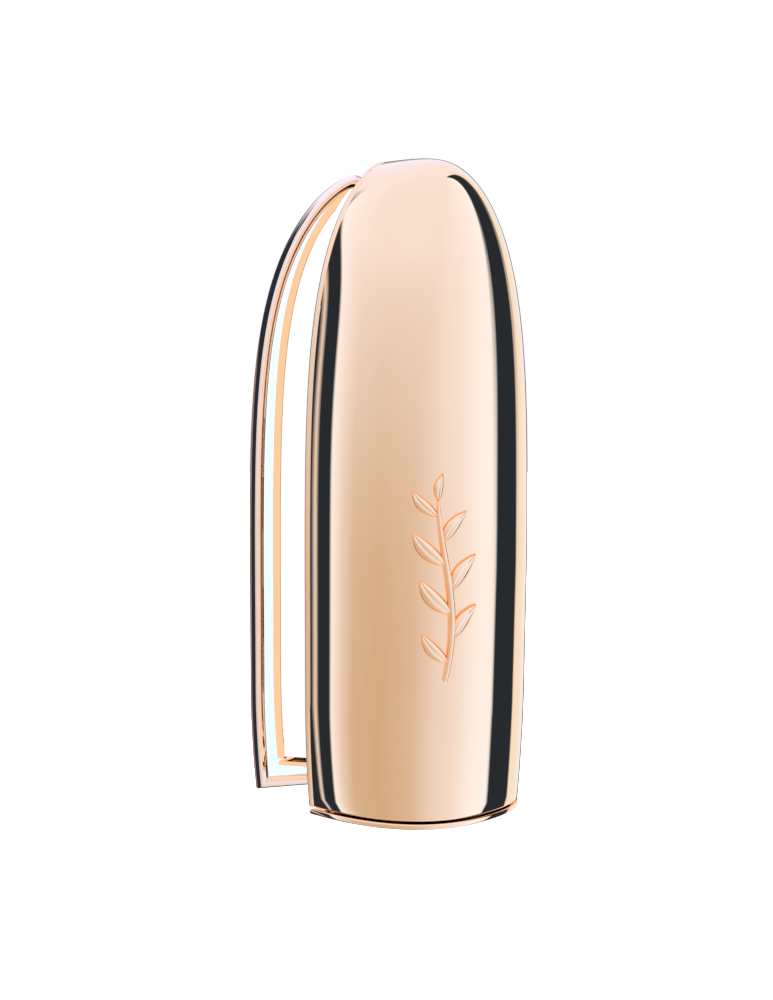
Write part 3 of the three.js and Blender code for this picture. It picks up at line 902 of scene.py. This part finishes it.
def base_loop(s, margin=0.0, steps=64):
    """The foot's outline as (x, y), its inside on the right of its run."""
    w = foot_width(0.0, s, margin)
    d = depth_at(0.0, s, s.depth, s.height) - margin
    p = s.section_power
    front = []
    for k in range(steps + 1):
        a = math.pi * k / steps
        c = math.cos(a)
        front.append((-math.copysign(w * abs(c) ** (2 / p), c), PARTING_Y - d * math.sin(a) ** (2 / p)))
    loop = rounded(front, len(front) - 1, BASE_CORNER)
    return rounded(loop, 0, BASE_CORNER)[::-1]


class CASE_OT_base(bpy.types.Operator):
    """Build the base plate that closes the foot, with the plug above it"""

    bl_idname = "case.base"
    bl_label = "Base Plate"

    def execute(self, context):
        s = form()
        foot = plate(base_loop(s), 0.0, BASE_THICK, BASE_EDGE, lambda x, y, h: (x, y, h))
        r = BARREL_RADIUS
        waist = r - 0.12 * MM
        top = hi("base_plate")[2]
        plug = rows_mesh([circle(radius, z, 96) for radius, z in (
            (r, BASE_THICK * 0.5), (r, 2.4 * MM), (waist, 2.6 * MM), (waist, 3.0 * MM), (r, 3.2 * MM),
            (r, top - PLUG_EDGE), (r - PLUG_EDGE, top))])
        set_of_plates("base_foot", "refill", "gold", ["base_plate"], [foot, plug], 35)
        return {"FINISHED"}


COLLAR_FLUTES = 48
FLUTE_DEPTH = 0.09 * MM
GROOVE_DEPTH = 0.07 * MM


class CASE_OT_refill(bpy.types.Operator):
    """Build the gold barrel and the fluted turning collar"""

    bl_idname = "case.refill"
    bl_label = "Refill Tubes"

    def execute(self, context):
        r = BARREL_RADIUS
        z0, z1 = lo("spiral_barrel")[2], hi("spiral_barrel")[2]
        profile = tube_profile(r - 0.35 * MM, r, z0, z1, 0.1 * MM)
        grooves = []
        for z in (z1 - 1.4 * MM, z1 - 0.9 * MM):
            grooves += [(r, z - 0.12 * MM), (r - GROOVE_DEPTH, z - 0.05 * MM),
                        (r - GROOVE_DEPTH, z + 0.05 * MM), (r, z + 0.12 * MM)]
        profile = profile[:4] + grooves + profile[4:]
        set_of_plates("barrel_sleeve", "refill", "gold", ["spiral_barrel"], [lathe(profile, 128)], 30)

        c0, c1 = lo("twist_collar")[2], hi("twist_collar")[2]

        def flutes(a, rr, z):
            inside = c0 + 0.7 * MM < z < c1 - 0.9 * MM and rr > r - 0.12 * MM
            return -FLUTE_DEPTH * (0.5 + 0.5 * math.cos(COLLAR_FLUTES * a)) if inside else 0.0
        profile = tube_profile(r - 0.3 * MM, r, c0, c1, 0.1 * MM)
        sides = [(r, c0 + 0.65 * MM), (r, c0 + 0.95 * MM), (r, c1 - 1.2 * MM), (r, c1 - 0.85 * MM)]
        profile = profile[:4] + sides + profile[4:]
        set_of_plates("fluted_collar", "turning_tube", "gold", ["twist_collar"],
                      [lathe(profile, COLLAR_FLUTES * 8, flutes)], 30)
        return {"FINISHED"}


BULLET_SIDES = 72
BULLET_EDGE = 0.45 * MM


class CASE_OT_bullet(bpy.types.Operator):
    """Build the slant-cut lipstick"""

    bl_idname = "case.bullet"
    bl_label = "Lipstick Bullet"

    slant: bpy.props.FloatProperty(
        name="Slant", description="Angle of the bullet's cut", default=math.radians(40), subtype="ANGLE")

    def execute(self, context):
        z0, z1 = lo("lipstick_bullet")[2], hi("lipstick_bullet")[2]
        r = (hi("lipstick_bullet")[0] - lo("lipstick_bullet")[0]) / 2
        over = 2 * MM  # the stick is drawn this much too tall, and the slant takes it off
        rows = [circle(r, z, BULLET_SIDES) for z in (z0, (z0 + z1) / 2, z1 + over)]
        o = new_object("lipstick_stick", *rows_mesh(rows))
        normal = Vector((0, -math.sin(self.slant), math.cos(self.slant)))
        sliced(o, Vector((0, r, z1)), normal)
        smooth_by_angle(o, 35)
        round_edges(o, BULLET_EDGE, 5)
        finish_piece(o, "carrier", "rouge", material("rouge"), "lipstick_bullet")
        return {"FINISHED"}


KEPT_NODES = {
    "body_mirror_tape": "tape", "inner_sleeve": "black_plastic", "top_weight": "steel",
    "grip_spring_left": "steel", "grip_spring_right": "steel", "catch_magnet_upper": "steel",
    "catch_magnet_lower": "steel", "base_keeper_left": "steel", "base_keeper_right": "steel",
    "leaf_mirror_tape": "tape", "leaf_keeper_upper": "steel", "leaf_keeper_lower": "steel",
    "base_magnet_left": "steel", "base_magnet_right": "steel", "base_weight": "steel",
    "inner_tube": "ivory_plastic", "carrier_cup": "ivory_plastic",
}


class CASE_OT_fittings(bpy.types.Operator):
    """Finish the fittings inside the case"""

    bl_idname = "case.fittings"
    bl_label = "Inside Fittings"

    def execute(self, context):
        for node, slot in KEPT_NODES.items():
            o = NODES[node]
            o.data.materials.clear()
            o.data.materials.append(material(slot))
            smooth_by_angle(o, 30)
        return {"FINISHED"}


# ---- stage ----
FLOOR_HALF, FLOOR_DROP = 0.6, 0.05 * MM
SOFT_LIGHTS = (  # name, place, size, power
    ("soft_key", (-0.35, -0.45, 0.5), 0.4, 6.0),
    ("soft_fill", (0.5, -0.2, 0.35), 0.35, 2.0),
)
DARK = (0.022, 0.040, 0.080)


def lamp(b):
    """Colour of a soft box of brightness b: brighter is cooler."""
    over = max(0.0, b - 0.7)
    return (min(1.05, min(b, 0.7) + 0.55 * over), b, min(b, 0.7) + 2.2 * over)


# The studio by direction in degrees, 0 at +X and 90 behind, with the brightness of its soft boxes;
# 0 stands for the dark room between them.
WARM = (1.0, 1.18, 1.45)
BROWN = (0.30, 0.20, 0.13)
WHITE = (1.1, 1.08, 1.1)  # of every reflection seen in another reflection
# Rosy copper in the studio behind: a painted reflection of the shell's rose-gold side, set in the
# surroundings so that the mirror shows a copper band; it is no lamp.
SHELL_REFLECTION_COPPER = (0.64, 0.44, 0.47)
STUDIO_LOW = (
    (-180, 0.69), (-160, 0.75), (-144, 0.80), (-110, 1.10), (-90, 1.16), (-56, 1.46), (-42.3, 1.48),
    (-41.7, 0), (-17.1, 0), (-16.5, WARM), (21, WARM), (24, 0), (46, 0), (58, 0.2), (90, 0.22),
    # From 92 to 112 degrees: the painted reflection of the shell's side, in copper.
    (92, SHELL_REFLECTION_COPPER), (112, SHELL_REFLECTION_COPPER), (113, 0), (133.6, 0), (134, 1.1), (136, 1.1), (136.4, 0), (142.7, 0),
    (143.3, 1.40), (150, 1.0), (158, 0.74), (180, 0.69),
)
STUDIO_HIGH = (
    (-180, 1.27), (-130, 1.25), (-70, 1.40), (-45.2, 1.48), (-44.6, 0), (-10.4, 0), (-9.8, WARM),
    (24, WARM), (28, BROWN), (106, BROWN), (112, 0), (133.6, 0), (134, 1.0), (136, 1.0), (136.4, 0),
    (142.7, 0), (143.3, 1.46), (152, 1.35), (180, 1.27),
)
# How far the high studio has replaced the low one, by degrees above the level.
HIGH_SHARE = ((-90, 0.0), (-12, 0.0), (-6, 0.08), (4, 0.36), (13, 0.53), (38, 0.95), (90, 1.0))
# The dark wall behind stands between these directions, and ends in a curve: it narrows by
# WALL_SWEEP degrees as it rises to its top.
WALL_NEAR, WALL_FAR = 46.0, 132.0
WALL_SWEEP, WALL_TOP, WALL_POWER = 43.0, 44.5, 2.9
WALL_LEAN = 1.1  # degrees that the wall's far end moves back for each degree of rise
WALL_FOOT = (5.4, 7.2)  # degrees above the level between which the white behind turns dark
CEILING_FOOT, CEILING_FULL = 24.0, 34.0  # degrees above the level where the soft box overhead begins
CEILING_NEAR, CEILING_FAR = 106.0, 92.0  # directions between which it gives way to the dark wall
CEILING_BRIGHTNESS = 1.27


class CASE_OT_stage(bpy.types.Operator):
    """Set the pale floor, the studio light and the camera"""

    bl_idname = "case.stage"
    bl_label = "Stage"

    def execute(self, context):
        self.surroundings(context)
        self.floor()
        self.lights()
        self.camera(context)
        return {"FINISHED"}

    def surroundings(self, context):
        world = bpy.data.worlds.new("studio")
        world.use_nodes = True
        context.scene.world = world
        t = world.node_tree
        t.nodes.clear()

        def put(kind, **values):
            node = t.nodes.new(kind)
            for name, value in values.items():
                setattr(node, name, value)
            return node

        def maths(operation, *inputs, clamp=False):
            node = put("ShaderNodeMath", operation=operation, use_clamp=clamp)
            for k, value in enumerate(inputs):
                if isinstance(value, (int, float)):
                    node.inputs[k].default_value = value
                else:
                    t.links.new(value, node.inputs[k])
            return node.outputs[0]

        def ramp(source, low, high, stops, colour):
            share = maths("DIVIDE", maths("SUBTRACT", source, low), high - low, clamp=True)
            node = put("ShaderNodeValToRGB")
            elements = node.color_ramp.elements
            while len(elements) < len(stops):
                elements.new(0.5)
            for e, (angle, value) in zip(elements, stops):
                e.position = (angle - low) / (high - low)
                e.color = (*colour(value), 1)
            t.links.new(share, node.inputs["Fac"])
            return node.outputs["Color"]

        def blend(factor, a, b):
            node = put("ShaderNodeMix", data_type="RGBA")
            t.links.new(factor, node.inputs["Factor"])
            for socket, value in ((node.inputs[6], a), (node.inputs[7], b)):
                if isinstance(value, tuple):
                    socket.default_value = value
                else:
                    t.links.new(value, socket)
            return node.outputs[2]

        coord = put("ShaderNodeTexCoord")
        split = put("ShaderNodeSeparateXYZ")
        t.links.new(coord.outputs["Generated"], split.inputs[0])
        x, y, z = (split.outputs[k] for k in range(3))
        turn = maths("DEGREES", maths("ARCTAN2", y, x))
        rise = maths("DEGREES", maths("ARCSINE", z))
        climb = maths("DIVIDE", maths("MAXIMUM", rise, 0.0), WALL_TOP)
        sweep = maths("MULTIPLY", maths("POWER", climb, WALL_POWER), WALL_SWEEP)
        behind = maths("GREATER_THAN", turn, WALL_NEAR)
        swept = maths("ADD", turn, maths("MULTIPLY", sweep, behind))

        def box_colour(value):
            if isinstance(value, tuple):
                return value
            return lamp(value) if value else DARK
        low = ramp(swept, -180, 180, STUDIO_LOW, box_colour)
        high = ramp(swept, -180, 180, STUDIO_HIGH, box_colour)
        round_about = blend(ramp(rise, -90, 90, HIGH_SHARE, grey), low, high)
        foot, full = WALL_FOOT
        wall = maths("DIVIDE", maths("SUBTRACT", rise, foot), full - foot, clamp=True)
        lean = maths("MULTIPLY_ADD", rise, WALL_LEAN, WALL_NEAR)
        wall = maths("MULTIPLY", wall, maths("GREATER_THAN", turn, lean))
        wall = maths("MULTIPLY", wall, maths("LESS_THAN", swept, WALL_FAR))
        round_about = blend(wall, round_about, (*DARK, 1))
        over = maths("DIVIDE", maths("SUBTRACT", rise, CEILING_FOOT),
                     CEILING_FULL - CEILING_FOOT, clamp=True)
        side = maths("DIVIDE", maths("SUBTRACT", turn, CEILING_NEAR),
                     CEILING_FAR - CEILING_NEAR, clamp=True)
        over = maths("MULTIPLY", maths("MULTIPLY", over, side), maths("GREATER_THAN", turn, 0.0))
        round_about = blend(over, round_about, (*lamp(CEILING_BRIGHTNESS), 1))
        path = put("ShaderNodeLightPath")
        again = maths("GREATER_THAN", path.outputs["Glossy Depth"], 1.5)
        round_about = blend(again, round_about, (*WHITE, 1))
        seen = put("ShaderNodeBackground")
        seen.inputs["Color"].default_value = (1, 1, 1, 1)
        around = put("ShaderNodeBackground")
        t.links.new(round_about, around.inputs["Color"])
        mix = put("ShaderNodeMixShader")
        t.links.new(path.outputs["Is Camera Ray"], mix.inputs["Fac"])
        t.links.new(around.outputs[0], mix.inputs[1])
        t.links.new(seen.outputs[0], mix.inputs[2])
        out = put("ShaderNodeOutputWorld")
        t.links.new(mix.outputs[0], out.inputs["Surface"])
        context.scene.view_settings.view_transform = "Standard"

    def floor(self):
        half = FLOOR_HALF
        o = new_object("floor", [(-half, -half, 0), (half, -half, 0), (half, half, 0), (-half, half, 0)],
                       [(0, 1, 2, 3)], smooth=False)
        o.location.z = -FLOOR_DROP
        m, shader = new_material("pale_floor", (0.9, 0.9, 0.9), roughness=0.6)
        vary(m, shader, "Base Color", noise_node(m, 60, 2), grey(0.9), grey(0.92))
        shader.inputs["Emission Color"].default_value = (1, 1, 1, 1)
        shader.inputs["Emission Strength"].default_value = 1.0
        o.data.materials.append(m)
        o.visible_glossy = False
        o.visible_diffuse = False

    def lights(self):
        for name, place, size, power in SOFT_LIGHTS:
            data = bpy.data.lights.new(name, "AREA")
            data.size, data.energy = size, power
            o = bpy.data.objects.new(name, data)
            o.location = place
            aim = Vector((0, PARTING_Y, 0.04)) - Vector(place)
            o.rotation_euler = aim.to_track_quat("-Z", "Y").to_euler()
            o.visible_glossy = False
            bpy.context.scene.collection.objects.link(o)

    def camera(self, context):
        s = context.scene.case_stage
        look = Vector((math.sin(s.azimuth) * math.cos(s.elevation),
                       math.cos(s.azimuth) * math.cos(s.elevation), -math.sin(s.elevation)))
        data = bpy.data.cameras.new("camera")
        data.lens = s.lens
        data.sensor_width = 36.0
        data.clip_start = 0.005
        o = bpy.data.objects.new("camera", data)
        o.location = Vector(s.target) - look * s.distance
        o.rotation_euler = look.to_track_quat("-Z", "Y").to_euler()
        context.scene.collection.objects.link(o)
        context.scene.camera = o


OPERATORS = (
    CASE_OT_front_shell, CASE_OT_sprig, CASE_OT_body_mirror, CASE_OT_hinge, CASE_OT_leaf_back,
    CASE_OT_leaf_bezel, CASE_OT_base, CASE_OT_refill, CASE_OT_bullet, CASE_OT_fittings, CASE_OT_stage,
)


class CASE_PT_panel(bpy.types.Panel):
    """Lists the pieces of the case and its sizes"""

    bl_label = "Lipstick Case"
    bl_idname = "CASE_PT_panel"
    bl_space_type = "VIEW_3D"
    bl_region_type = "UI"
    bl_category = "Lipstick Case"

    def draw(self, context):
        for group in (context.scene.case_form, context.scene.case_colours, context.scene.case_stage):
            for name in group.__annotations__:
                self.layout.prop(group, name)
        for operator in OPERATORS:
            self.layout.operator(operator.bl_idname)


GROUPS = {"case_form": CaseForm, "case_colours": CaseColours, "case_stage": CaseStage}


def register():
    for cls in (*GROUPS.values(), *OPERATORS, CASE_PT_panel):
        bpy.utils.register_class(cls)
    for name, cls in GROUPS.items():
        setattr(bpy.types.Scene, name, bpy.props.PointerProperty(type=cls))


def unregister():
    for name in GROUPS:
        delattr(bpy.types.Scene, name)
    for cls in (CASE_PT_panel, *OPERATORS[::-1], *GROUPS.values()):
        bpy.utils.unregister_class(cls)


def main():
    register()
    bpy.ops.case.front_shell()
    bpy.ops.case.sprig()
    bpy.ops.case.body_mirror()
    bpy.ops.case.hinge()
    bpy.ops.case.leaf_back()
    bpy.ops.case.leaf_bezel()
    bpy.ops.case.base()
    bpy.ops.case.refill()
    bpy.ops.case.bullet()
    bpy.ops.case.fittings()
    bpy.ops.case.stage()


if __name__ == "__main__":
    main()
